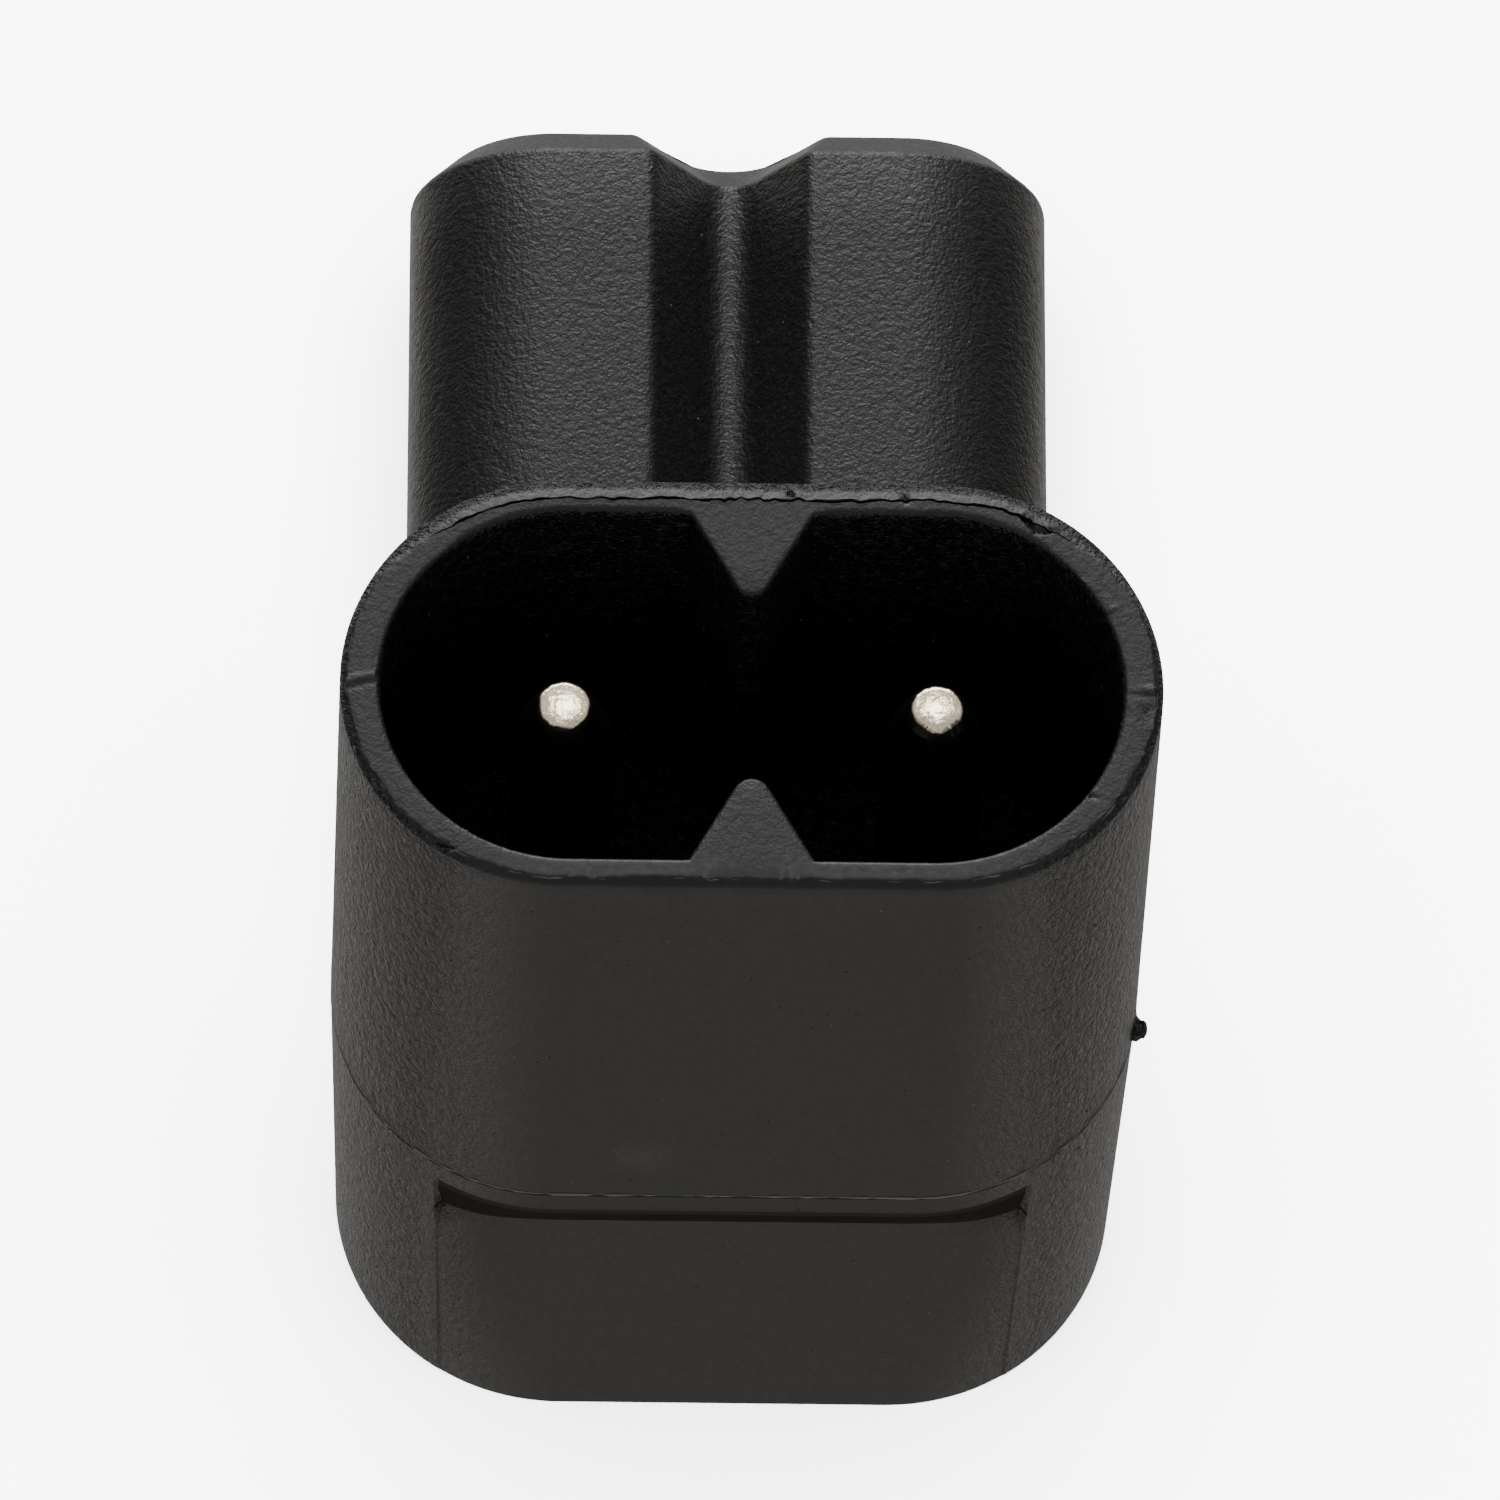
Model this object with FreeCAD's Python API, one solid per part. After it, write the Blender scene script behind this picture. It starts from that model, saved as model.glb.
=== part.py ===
import FreeCAD, Part
import math
import os

Vector = FreeCAD.Vector
ACROSS = Vector(1, 0, 0)
ALONG_PLUG = Vector(0, 1, 0)
UP = Vector(0, 0, 1)
SIDES = {"left": -1, "right": 1}

# A right-angle adapter for two-pole figure-eight power leads. It lies on its back: the socket opens upwards (+Z)
# and the plug points to +Y. The origin is in the middle of the back face. All sizes are in millimetres.

# Poles, shared by the socket and the plug
pole_spacing = 8.6
pin_diameter = 2.36

# Body
body_width_at_rim = 18.95
body_width_at_seam = 19.25
body_width_at_back = 18.9
body_depth_at_rim = 10.3
body_depth_at_back = 11.0
body_height = 29.4
seam_height = 12.3
seam_bevel = 0.14
rim_rounding = 0.34
back_rounding = 0.3

# Socket
opening_width = 17.1
opening_depth = 8.75
floor_above_seam = 0.6
floor_thickness = 3.0
key_width = 2.83
key_height = 2.07
key_tip_radius = 0.45

# Pins of the socket
pin_tip_below_rim = 1.2
pin_tip_diameter = 1.4
pin_tip_edge = 0.12
pin_nose = 1.7
pin_root_diameter = 3.0

# Stub left where the front moulding was cut from its gate
gate_above_seam = 0.35
gate_towards_front = 1.0
gate_base_diameter = 0.5
gate_tip_diameter = 0.2
gate_reach = 0.35

# Plug
plug_width = 15.8
plug_thickness = 7.2
plug_clear_of_table = 0.6
plug_tip_from_centre = 25.75
plug_tip_bevel = 0.9
waist_width = 3.8
waist_depth = 2.0
waist_radius = 0.75
entry_diameter = 2.9
entry_bevel = 0.25

# Joint between the two housings
housing_wall = 1.5
housing_floor = 1.6
spigot_height = 1.6
spigot_wall = 0.9
spigot_gap = 0.05

# Bare panel sunk into the front of the back housing: deepest at its top, nearly flush where it meets the back
panel_width = 14.0
panel_sink_at_top = 0.4
panel_sink_at_back = 0.05
panel_below_seam = 1.4

# Contacts of the plug, in their insulating core
contact_wall = 0.4
contact_gap = 0.02
contact_behind_tip = 1.4
contact_bore = 13.0
contact_mouth_bevel = 0.15
contact_slot_width = 0.35
contact_slot_length = 8.0
contact_flex_gap = 0.15
core_wall = 0.7
core_web = 1.6
core_behind_tip = 1.2

# Straps that join each pin to its contact, and the tails riveted over in them
strap_width = 2.4
strap_thickness = 0.6
strap_overhang = 1.7
strap_bend_inside = 0.25
strap_gap = 0.05
tail_diameter = 1.5
rivet_diameter = 2.1
rivet_height = 0.4

# How far a cutting solid runs past what it cuts
cut_past = 1.0

# Places that follow from those sizes
pole_x = pole_spacing / 2
pin_radius = pin_diameter / 2
strap_top_z = seam_height + floor_above_seam
cavity_floor_z = strap_top_z + floor_thickness
socket_reach = body_height - cavity_floor_z
plug_z = plug_clear_of_table + plug_thickness / 2
contact_bore_radius = pin_radius + contact_gap
contact_radius = contact_bore_radius + contact_wall
core_radius = contact_radius + core_wall
core_back_y = (body_depth_at_back - 2 * housing_wall) / 2 - housing_wall
core_tip_y = plug_tip_from_centre - core_behind_tip
contact_mouth_y = plug_tip_from_centre - contact_behind_tip


def depth_at(z):
    """Depth of the body, which narrows a little from its back to its rim."""
    share = z / body_height
    return body_depth_at_back + share * (body_depth_at_rim - body_depth_at_back)


def width_at(z):
    """Width of the body, which is widest at the seam and narrows from there to its back and to its rim."""
    if z < seam_height:
        return body_width_at_back + z / seam_height * (body_width_at_seam - body_width_at_back)
    share = (z - seam_height) / (body_height - seam_height)
    return body_width_at_seam + share * (body_width_at_rim - body_width_at_seam)


def stadium_wire(width, depth, centre, across, inward):
    """Closed outline with two straight sides and two half-round ends, in the plane of across and inward."""
    radius = depth / 2
    straight = width / 2 - radius
    corners = [centre + across * x + inward * y for x, y in
               [(-straight, -radius), (straight, -radius), (straight, radius), (-straight, radius)]]
    ends = [centre + across * width / 2, centre - across * width / 2]
    return Part.Wire([
        Part.LineSegment(corners[0], corners[1]).toShape(),
        Part.Arc(corners[1], ends[0], corners[2]).toShape(),
        Part.LineSegment(corners[2], corners[3]).toShape(),
        Part.Arc(corners[3], ends[1], corners[0]).toShape(),
    ])


def body_block(levels):
    """Solid through the body's outlines, given from the back upwards as (height, how far moved inwards)."""
    outlines = []
    for z, inset in levels:
        width = width_at(z) - 2 * inset
        depth = depth_at(z) - 2 * inset
        outlines.append(stadium_wire(width, depth, UP * z, ACROSS, ALONG_PLUG))
    return Part.makeLoft(outlines, True, True)


def plug_block(width, thickness, y_low, y_high):
    """Straight stadium block along the plug, between two distances from the body's middle."""
    centre = ALONG_PLUG * y_low + UP * plug_z
    face = Part.Face(stadium_wire(width, thickness, centre, ACROSS, UP))
    return face.extrude(ALONG_PLUG * (y_high - y_low))


def rod(radius, start, axis, length):
    """Round bar from start along axis."""
    return Part.makeCylinder(radius, length, start, axis)


def turned(profile, origin, axis):
    """Solid turned about axis from a list of (distance along the axis, radius), given from end to end."""
    points = [origin + axis * profile[0][0]]
    points += [origin + axis * along + ACROSS * radius for along, radius in profile]
    points += [origin + axis * profile[-1][0], points[0]]
    return Part.Face(Part.makePolygon(points)).revolve(origin, axis, 360)


def edges_at(shape, side, value):
    """Edges of shape that lie wholly at that value of X, Y or Z."""
    return [edge for edge in shape.Edges
            if abs(getattr(edge.BoundBox, side + "Min") - value) < 1e-4
            and abs(getattr(edge.BoundBox, side + "Max") - value) < 1e-4]


def edge_along_x(shape, y, z):
    """The edges of shape that run across at that y and z."""
    level = edges_at(shape, "Z", z)
    return [edge for edge in level if abs(edge.BoundBox.YMin - y) < 1e-4 and abs(edge.BoundBox.YMax - y) < 1e-4]


def wedge_bar(width, height, tip_radius, root, foot, inward, run):
    """Long bar with a V section and a rounded tip. The V is width wide at foot, points inward by height,
    and is carried outwards by root behind its foot. run is the vector along the bar."""
    half = width / 2
    tip_centre = height - tip_radius
    slant = math.hypot(half, tip_centre)
    side_angle = math.atan2(tip_centre, -half) - math.asin(tip_radius / slant)
    side_length = math.sqrt(slant ** 2 - tip_radius ** 2)
    touch_x = half + side_length * math.cos(side_angle)
    touch_y = side_length * math.sin(side_angle)
    root_x = half - root / math.tan(side_angle)
    places = [(-root_x, -root), (-touch_x, touch_y), (0, height), (touch_x, touch_y), (root_x, -root)]
    a, b, tip, c, d = [foot + ACROSS * x + inward * y for x, y in places]
    outline = Part.Wire([
        Part.LineSegment(a, b).toShape(),
        Part.Arc(b, tip, c).toShape(),
        Part.LineSegment(c, d).toShape(),
        Part.LineSegment(d, a).toShape(),
    ])
    return Part.Face(outline).extrude(run)


def socket_cavity():
    """Room inside the socket, with the two rounded ridges left standing across its middle."""
    floor = UP * cavity_floor_z
    room = Part.Face(stadium_wire(opening_width, opening_depth, floor, ACROSS, ALONG_PLUG))
    room = room.extrude(UP * (socket_reach + cut_past))
    for side in SIDES.values():
        foot = floor + ALONG_PLUG * (side * opening_depth / 2)
        key = wedge_bar(key_width, key_height, key_tip_radius, cut_past, foot, ALONG_PLUG * -side,
                        UP * (socket_reach + cut_past))
        room = room.cut(key)
    return room


def strap_room(side):
    """Room that the mouldings leave round a strap, up to the underside of the socket's floor."""
    low = Vector(side * pole_x - strap_width / 2 - strap_gap, -strap_overhang - strap_gap,
                 plug_z - strap_width / 2 - strap_gap)
    length = core_back_y + strap_overhang + 2 * strap_gap
    return Part.makeBox(strap_width + 2 * strap_gap, length, strap_top_z - low.z, low)


def gate_stub():
    """Short tapered stub on the right side of the front moulding, from inside its wall outwards."""
    z = seam_height + gate_above_seam
    bend = depth_at(z) / 2
    wall_x = width_at(z) / 2 - bend + math.sqrt(bend ** 2 - gate_towards_front ** 2)
    start = Vector(wall_x - housing_wall / 2, -gate_towards_front, z)
    return Part.makeCone(gate_base_diameter / 2, gate_tip_diameter / 2, housing_wall / 2 + gate_reach, start, ACROSS)


def socket_shroud():
    """Front moulding: the socket's wall, ridges and floor, and the spigot that enters the back housing."""
    shell = body_block([(seam_height, seam_bevel), (seam_height + seam_bevel, 0), (body_height, 0)])
    shell = shell.fuse(gate_stub())
    shell = shell.makeFillet(rim_rounding, edges_at(shell, "Z", body_height))
    outside = housing_wall + spigot_gap
    inside = outside + spigot_wall
    spigot_end = seam_height - spigot_height
    spigot = body_block([(spigot_end, outside), (seam_height + seam_bevel, outside)])
    hollow = body_block([(spigot_end - cut_past, inside), (seam_height, inside), (strap_top_z, inside)])
    shroud = shell.fuse(spigot).cut(hollow).cut(socket_cavity())
    for side in SIDES.values():
        shroud = shroud.cut(strap_room(side))
        hole_start = ACROSS * (side * pole_x) + UP * (strap_top_z - cut_past)
        shroud = shroud.cut(rod(pin_root_diameter / 2, hole_start, UP, floor_thickness + 2 * cut_past))
    return shroud.removeSplitter()


def pin(side):
    """Round pin: blunt tapered tip, shank, a thicker root pressed into the socket's floor, and a tail riveted over
    under the strap."""
    tip_z = body_height - pin_tip_below_rim
    tip_radius = pin_tip_diameter / 2
    strap_bottom_z = strap_top_z - strap_thickness
    profile = [
        (strap_bottom_z - rivet_height, rivet_diameter / 2),
        (strap_bottom_z, rivet_diameter / 2),
        (strap_bottom_z, tail_diameter / 2),
        (strap_top_z, tail_diameter / 2),
        (strap_top_z, pin_root_diameter / 2),
        (cavity_floor_z, pin_root_diameter / 2),
        (cavity_floor_z, pin_radius),
        (tip_z - pin_nose, pin_radius),
        (tip_z - pin_tip_edge, tip_radius),
        (tip_z, tip_radius - pin_tip_edge),
    ]
    return turned(profile, ACROSS * (side * pole_x), UP)


def contact(side):
    """Slotted sleeve that takes a pin of this plug's socket, with a solid back end riveted to the strap."""
    rivet_y = core_back_y - strap_thickness
    profile = [
        (rivet_y - rivet_height, rivet_diameter / 2),
        (rivet_y, rivet_diameter / 2),
        (rivet_y, tail_diameter / 2),
        (core_back_y, tail_diameter / 2),
        (core_back_y, contact_radius),
        (contact_mouth_y, contact_radius),
        (contact_mouth_y, contact_bore_radius + contact_mouth_bevel),
        (contact_mouth_y - contact_mouth_bevel, contact_bore_radius),
        (contact_mouth_y - contact_bore, contact_bore_radius),
    ]
    centre = ACROSS * (side * pole_x) + UP * plug_z
    sleeve = turned(profile, centre, ALONG_PLUG)
    slot_start = contact_mouth_y - contact_slot_length
    long_side = 2 * contact_radius + cut_past
    for wide, high in [(long_side, contact_slot_width), (contact_slot_width, long_side)]:
        corner = centre + Vector(-wide / 2, slot_start, -high / 2)
        sleeve = sleeve.cut(Part.makeBox(wide, contact_slot_length + cut_past, high, corner))
    return sleeve


def core_outline():
    """Outside of the insulating core: two round barrels and the web between them."""
    length = core_tip_y - core_back_y
    corner = Vector(-pole_x, core_back_y, plug_z - core_web / 2)
    outline = Part.makeBox(pole_spacing, length, core_web, corner)
    for side in SIDES.values():
        start = Vector(side * pole_x, core_back_y, plug_z)
        outline = outline.fuse(rod(core_radius, start, ALONG_PLUG, length))
    return outline.removeSplitter()


def plug_core():
    """Rigid core inside the plug that holds both contacts, with room round their slotted ends to spring."""
    core = core_outline()
    spring_y = contact_mouth_y - contact_bore
    for side in SIDES.values():
        start = Vector(side * pole_x, core_back_y - cut_past, plug_z)
        core = core.cut(rod(contact_radius, start, ALONG_PLUG, core_tip_y - core_back_y + 2 * cut_past))
        spring_start = Vector(side * pole_x, spring_y, plug_z)
        room = rod(contact_radius + contact_flex_gap, spring_start, ALONG_PLUG, core_tip_y - spring_y + cut_past)
        core = core.cut(room)
    return core


def plug_outside():
    """Outside of the plug from the middle of the body to its bevelled tip, with a waist above and below."""
    plug = plug_block(plug_width, plug_thickness, 0, plug_tip_from_centre)
    for way in (-1, 1):
        foot = UP * (plug_z + way * plug_thickness / 2) - ALONG_PLUG * cut_past
        run = ALONG_PLUG * (plug_tip_from_centre + 2 * cut_past)
        plug = plug.cut(wedge_bar(waist_width, waist_depth, waist_radius, cut_past, foot, UP * -way, run))
    return plug.makeChamfer(plug_tip_bevel, edges_at(plug, "Y", plug_tip_from_centre))


def front_panel():
    """Layer taken off the front of the back housing, which leaves a shallow bare panel. The layer thins out from
    the panel's top to the back face, and goes on past it."""
    low = -cut_past
    high = seam_height - panel_below_seam
    sink_per_height = (panel_sink_at_top - panel_sink_at_back) / high
    whole = body_block([(low, -cut_past), (high, -cut_past)])
    kept = body_block([(low, panel_sink_at_back + low * sink_per_height), (high, panel_sink_at_top)])
    reach = body_depth_at_back
    window = Part.makeBox(panel_width, reach, high - low, Vector(-panel_width / 2, -reach, low))
    return whole.cut(kept).common(window)


def rear_housing():
    """Back moulding: closed box behind the socket and the skin of the plug, with a hole for each pin at its tip."""
    block = body_block([(0, 0), (seam_height - seam_bevel, 0), (seam_height, seam_bevel)])
    block = block.makeFillet(back_rounding, edges_at(block, "Z", 0))
    pocket = body_block([(housing_floor, housing_wall), (seam_height, housing_wall),
                         (seam_height + cut_past, housing_wall)])
    housing = block.fuse(plug_outside()).cut(pocket).cut(core_outline()).cut(front_panel())
    for side in SIDES.values():
        housing = housing.cut(strap_room(side))
        hole_start = Vector(side * pole_x, core_tip_y - cut_past, plug_z)
        housing = housing.cut(rod(entry_diameter / 2, hole_start, ALONG_PLUG, core_behind_tip + 2 * cut_past))
        bevel_start = Vector(side * pole_x, plug_tip_from_centre - entry_bevel, plug_z)
        funnel = Part.makeCone(entry_diameter / 2, entry_diameter / 2 + entry_bevel, entry_bevel, bevel_start,
                               ALONG_PLUG)
        housing = housing.cut(funnel)
    return housing.removeSplitter()


def strap(side):
    """Bent brass strip: one leg lies under the socket's floor round the pin's tail, and the other stands against
    the core's back end round the contact's tail."""
    leg_y = core_back_y - strap_thickness
    low = plug_z - strap_width / 2
    under = strap_top_z - strap_thickness
    start_x = ACROSS * (side * pole_x - strap_width / 2)
    corners = [(-strap_overhang, strap_top_z), (core_back_y, strap_top_z), (core_back_y, low),
               (leg_y, low), (leg_y, under), (-strap_overhang, under)]
    outline = Part.makePolygon([start_x + ALONG_PLUG * y + UP * z for y, z in corners + corners[:1]])
    strip = Part.Face(outline).extrude(ACROSS * strap_width)
    strip = strip.makeFillet(strap_bend_inside, edge_along_x(strip, leg_y, under))
    strip = strip.makeFillet(strap_bend_inside + strap_thickness, edge_along_x(strip, core_back_y, strap_top_z))
    pin_hole = rod(tail_diameter / 2, ACROSS * (side * pole_x) + UP * (under - cut_past), UP, 3 * cut_past)
    contact_hole_start = Vector(side * pole_x, leg_y - cut_past, plug_z)
    contact_hole = rod(tail_diameter / 2, contact_hole_start, ALONG_PLUG, 3 * cut_past)
    return strip.cut(pin_hole).cut(contact_hole)


def main():
    pieces = {
        "socket_shroud": socket_shroud(),
        "rear_housing": rear_housing(),
        "plug_core": plug_core(),
    }
    for name, side in SIDES.items():
        pieces["pin_" + name] = pin(side)
        pieces["contact_" + name] = contact(side)
        pieces["strap_" + name] = strap(side)
    os.makedirs("parts", exist_ok=True)
    for name, piece in pieces.items():
        piece.exportStep(os.path.join("parts", name + ".step"))
        print(name, piece.isValid(), len(piece.Solids), round(piece.Volume, 2))


main()
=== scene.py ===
# %% [markdown]
# This lesson dresses a right-angle adapter for two-pole figure-eight power leads, about 3 cm tall. Two black
# mouldings meet at a seam: the front one is the socket with its two pins, the back one carries the plug. What the
# eye reads is finish: satin black plastic with a leathery grain, a ragged parting line round the rim, and two cut
# pin ends that shine out of a black hole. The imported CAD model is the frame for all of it, so it is loaded first.

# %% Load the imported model
import math

import bmesh
import bpy
import numpy as np
from mathutils import Matrix, Vector


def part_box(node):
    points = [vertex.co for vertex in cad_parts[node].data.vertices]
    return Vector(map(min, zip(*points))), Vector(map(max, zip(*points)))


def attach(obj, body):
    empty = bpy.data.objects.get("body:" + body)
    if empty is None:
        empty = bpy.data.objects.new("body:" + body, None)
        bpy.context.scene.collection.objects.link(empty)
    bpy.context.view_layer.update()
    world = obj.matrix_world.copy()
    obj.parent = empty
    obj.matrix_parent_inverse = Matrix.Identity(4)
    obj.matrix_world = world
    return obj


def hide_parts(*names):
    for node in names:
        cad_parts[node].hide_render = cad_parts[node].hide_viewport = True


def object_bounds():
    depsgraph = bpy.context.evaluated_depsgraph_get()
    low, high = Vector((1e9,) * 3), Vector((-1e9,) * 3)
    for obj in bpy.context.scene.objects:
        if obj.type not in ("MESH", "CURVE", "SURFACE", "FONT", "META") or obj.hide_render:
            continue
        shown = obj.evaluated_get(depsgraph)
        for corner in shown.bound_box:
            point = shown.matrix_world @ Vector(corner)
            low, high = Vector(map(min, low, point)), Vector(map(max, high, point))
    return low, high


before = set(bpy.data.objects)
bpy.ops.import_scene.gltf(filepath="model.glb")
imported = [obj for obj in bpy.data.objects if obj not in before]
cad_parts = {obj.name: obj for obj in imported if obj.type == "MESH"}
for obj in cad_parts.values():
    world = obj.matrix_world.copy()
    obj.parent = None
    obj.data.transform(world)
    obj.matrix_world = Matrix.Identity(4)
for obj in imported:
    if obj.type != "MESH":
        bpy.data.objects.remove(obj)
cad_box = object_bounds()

MM = 0.001


def box_mm(node):
    """Lowest and highest corner of a CAD node, in millimetres."""
    low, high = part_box(node)
    return np.array(low) / MM, np.array(high) / MM


print("CAD nodes:", ", ".join(sorted(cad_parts)))

# %% [markdown]
# Heights, the plug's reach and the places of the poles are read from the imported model, in millimetres. The rest
# are the sizes that the construction uses: the body's width and depth, the opening with its two ridges, and the
# plug with its waist. Some are changed by up to 0.2 mm, so that the skin follows the photograph more closely.

# %% Sizes
shroud_low, shroud_high = box_mm("socket_shroud")
rear_low, rear_high = box_mm("rear_housing")
pin_low, pin_high = box_mm("pin_right")
core_low, core_high = box_mm("plug_core")

RIM_Z = shroud_high[2]
SEAM_Z = rear_high[2]
PLUG_TIP_Y = rear_high[1]
POLE_X = (pin_low[0] + pin_high[0]) / 2
PLUG_Z = (core_low[2] + core_high[2]) / 2
SOCKET_FLOOR_Z = 15.9

WIDTH_AT_RIM, WIDTH_AT_SEAM, WIDTH_AT_BACK = 18.95, 19.235, 18.9
DEPTH_AT_RIM, DEPTH_AT_BACK = 10.3, 10.98
RIM_LEAN = 0.10
SEAM_EDGE = 0.05
BACK_ROUNDING = 0.12

OPENING_WIDTH, OPENING_DEPTH = 17.1, 8.75
KEY_WIDTH, KEY_HEIGHT, KEY_TIP_RADIUS = 2.90, 2.07, 0.45

PIN_RADIUS, PIN_NOSE, PIN_END_RADIUS = 1.18, 1.7, 0.57
PIN_ROOT_RADIUS = (pin_high[0] - pin_low[0]) / 2
PIN_END_Z = pin_high[2]

PLUG_WIDTH, PLUG_THICKNESS = 15.8, 7.2
PLUG_BEVEL = 0.9
WAIST_WIDTH, WAIST_DEPTH, WAIST_RADIUS = 3.8, 2.0, 0.75

print(f"rim at {RIM_Z:.2f} mm, seam at {SEAM_Z:.2f} mm, plug tip {PLUG_TIP_Y:.2f} mm from the middle")

# %% [markdown]
# The camera stands where the photographer's did, found by matching the object's outline: nearly 65 degrees above
# the horizon, turned by 3 degrees, rolled a little, 40 cm away. Writing it as a direction and a roll keeps it
# readable; the three axes of the camera follow from them.

# %% Camera
ELEVATION, TURN, ROLL = math.radians(64.815), math.radians(-3.036), math.radians(3.434)
DISTANCE = 400.0
FRAME_PIXELS = 1500
FOCAL_PIXELS = 17411.0
SENSOR = 36.0
AIM_RIGHT, AIM_UP = 0.049, 1.487

view_back = Vector((math.sin(TURN) * math.cos(ELEVATION), -math.cos(TURN) * math.cos(ELEVATION),
                    math.sin(ELEVATION)))
level_right = Vector((math.cos(TURN), math.sin(TURN), 0))
level_up = view_back.cross(level_right)
view_right = level_right * math.cos(ROLL) + level_up * math.sin(ROLL)
view_up = level_up * math.cos(ROLL) - level_right * math.sin(ROLL)
eye = Vector((0, 0, RIM_Z)) + view_back * DISTANCE - view_right * AIM_RIGHT - view_up * AIM_UP

camera = bpy.data.objects.new("camera", bpy.data.cameras.new("camera"))
camera.data.sensor_width = SENSOR
camera.data.lens = FOCAL_PIXELS * SENSOR / FRAME_PIXELS
camera.data.clip_start = 0.01
place = Matrix((view_right, view_up, view_back)).transposed().to_4x4()
place.translation = eye * MM
camera.matrix_world = place
bpy.context.scene.collection.objects.link(camera)
bpy.context.scene.camera = camera
print(f"lens {camera.data.lens:.0f} mm")


def on_level(pixel, z):
    """The point at height z that a pixel of the 1500 pixel photograph shows, as x and y in millimetres."""
    across = (pixel[0] - FRAME_PIXELS / 2) / FOCAL_PIXELS
    down = (pixel[1] - FRAME_PIXELS / 2) / FOCAL_PIXELS
    ray = view_right * across - view_up * down - view_back
    point = eye + ray * ((z - eye.z) / ray.z)
    return np.array((point.x, point.y))


# %% [markdown]
# Materials, sky and the Geometry Nodes tools are all node trees, so one small kit builds them. A value that is
# given to a node can be a number, a colour, or another node's output, which is then linked. With it a chain of
# nodes reads like a formula.

# %% A kit for node trees
class NodeKit:
    """Adds nodes to one tree and links them."""

    def __init__(self, tree):
        self.tree = tree

    def feed(self, socket, value):
        """Links the socket to another node's output, or sets its value. A colour may leave its alpha out."""
        if isinstance(value, bpy.types.NodeSocket):
            self.tree.links.new(value, socket)
        elif socket.type == "RGBA":
            socket.default_value = (*value, 1)
        else:
            socket.default_value = value

    def add(self, kind, *inputs, **values):
        """Adds a node. Values are its settings, and then its inputs by name, where _ stands for a space. Inputs
        are the first of its inputs, in their order."""
        node = self.tree.nodes.new(kind)
        for name, value in values.items():
            if hasattr(node, name):
                setattr(node, name, value)
            else:
                self.feed(node.inputs[name.replace("_", " ")], value)
        for socket, value in zip(node.inputs, inputs):
            self.feed(socket, value)
        return node

    def maths(self, operation, *values):
        """Result of a calculation with numbers."""
        return self.add("ShaderNodeMath", *values, operation=operation).outputs["Value"]

    def vector_maths(self, operation, *values):
        """Number that comes from a calculation with vectors."""
        return self.add("ShaderNodeVectorMath", *values, operation=operation).outputs["Value"]

    def step(self, value, low, high, before=0.0, after=1.0):
        """Number that goes smoothly from before to after while value goes from low to high."""
        node = self.add("ShaderNodeMapRange", interpolation_type="SMOOTHSTEP", Value=value, From_Min=low,
                        From_Max=high, To_Min=before, To_Max=after)
        return node.outputs["Result"]

    def span(self, share, before, after, low=0.0, high=1.0):
        """Number that goes evenly from before to after while share goes from low to high."""
        node = self.add("ShaderNodeMapRange", Value=share, From_Min=low, From_Max=high, To_Min=before,
                        To_Max=after)
        return node.outputs["Result"]

    def mix(self, share, before, after):
        """Colour that goes from before to after with share."""
        return self.add("ShaderNodeMix", data_type="RGBA", Factor=share, A=before, B=after).outputs["Result"]

    def scaled(self, vector, scale):
        """Vector times a scale on each axis."""
        return self.add("ShaderNodeMapping", Vector=vector, Scale=scale).outputs["Vector"]

    def object_mm(self):
        """Object coordinates in millimetres, so that the sizes of patterns can be read in the nodes."""
        return self.scaled(self.add("ShaderNodeTexCoord").outputs["Object"], (1 / MM,) * 3)

    def noise(self, vector, **values):
        """Noise at a place."""
        return self.add("ShaderNodeTexNoise", Vector=vector, **values).outputs["Fac"]

    def axes(self, vector):
        """The three numbers of a vector."""
        return self.add("ShaderNodeSeparateXYZ", vector).outputs


def empty_kit(owner):
    """Kit for the shader tree of a world or a material, which it empties first."""
    owner.use_nodes = True
    owner.node_tree.nodes.clear()
    return NodeKit(owner.node_tree)


def shader_material(name, build):
    """New material with the Principled shader that build makes with a kit."""
    material = bpy.data.materials.new(name)
    kit = empty_kit(material)
    kit.add("ShaderNodeOutputMaterial", Surface=build(kit).outputs[0])
    return material


print("kit for node trees ready")

# %% [markdown]
# Black plastic shows mostly what it reflects, so the light is built from what each face has to mirror. The level
# rim mirrors the sky high at the back, the far bevel mirrors it low at the back, and the near wall mirrors what is
# below and in front. The sky is an even grey, a little brighter and warmer below the horizon and black straight
# below. To both sides it first brightens and then goes nearly black, as if pale and black cards stood there, which
# shades the round ends. One broad soft box stands low at the back, and a small one high at the back is what the
# polished pin ends mirror.

# %% Sky and soft boxes
SKY_FRONT, SKY_BACK = (0.40, 0.40, 0.40), (0.39, 0.39, 0.40)
BELOW_FRONT, BELOW_BACK, STRAIGHT_DOWN = (0.58, 0.558, 0.523), (0.76, 0.74, 0.715), (0.02, 0.02, 0.02)
SIDE_STRENGTHS = ((-0.82, 0.16), (-0.58, 1.15), (-0.42, 1.74), (-0.20, 1.10), (-0.02, 0.86), (0.02, 0.86),
                  (0.20, 0.88), (0.42, 1.48), (0.58, 1.18), (0.82, 0.20))

world = bpy.data.worlds.new("studio")
bpy.context.scene.world = world
studio = empty_kit(world)
towards = studio.axes(studio.add("ShaderNodeTexCoord").outputs["Generated"])


def blend_sky(axis, low, high, before, after):
    """Colour that goes from before to after while the direction's axis goes from low to high."""
    return studio.mix(studio.step(towards[axis], low, high), before, after)


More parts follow.
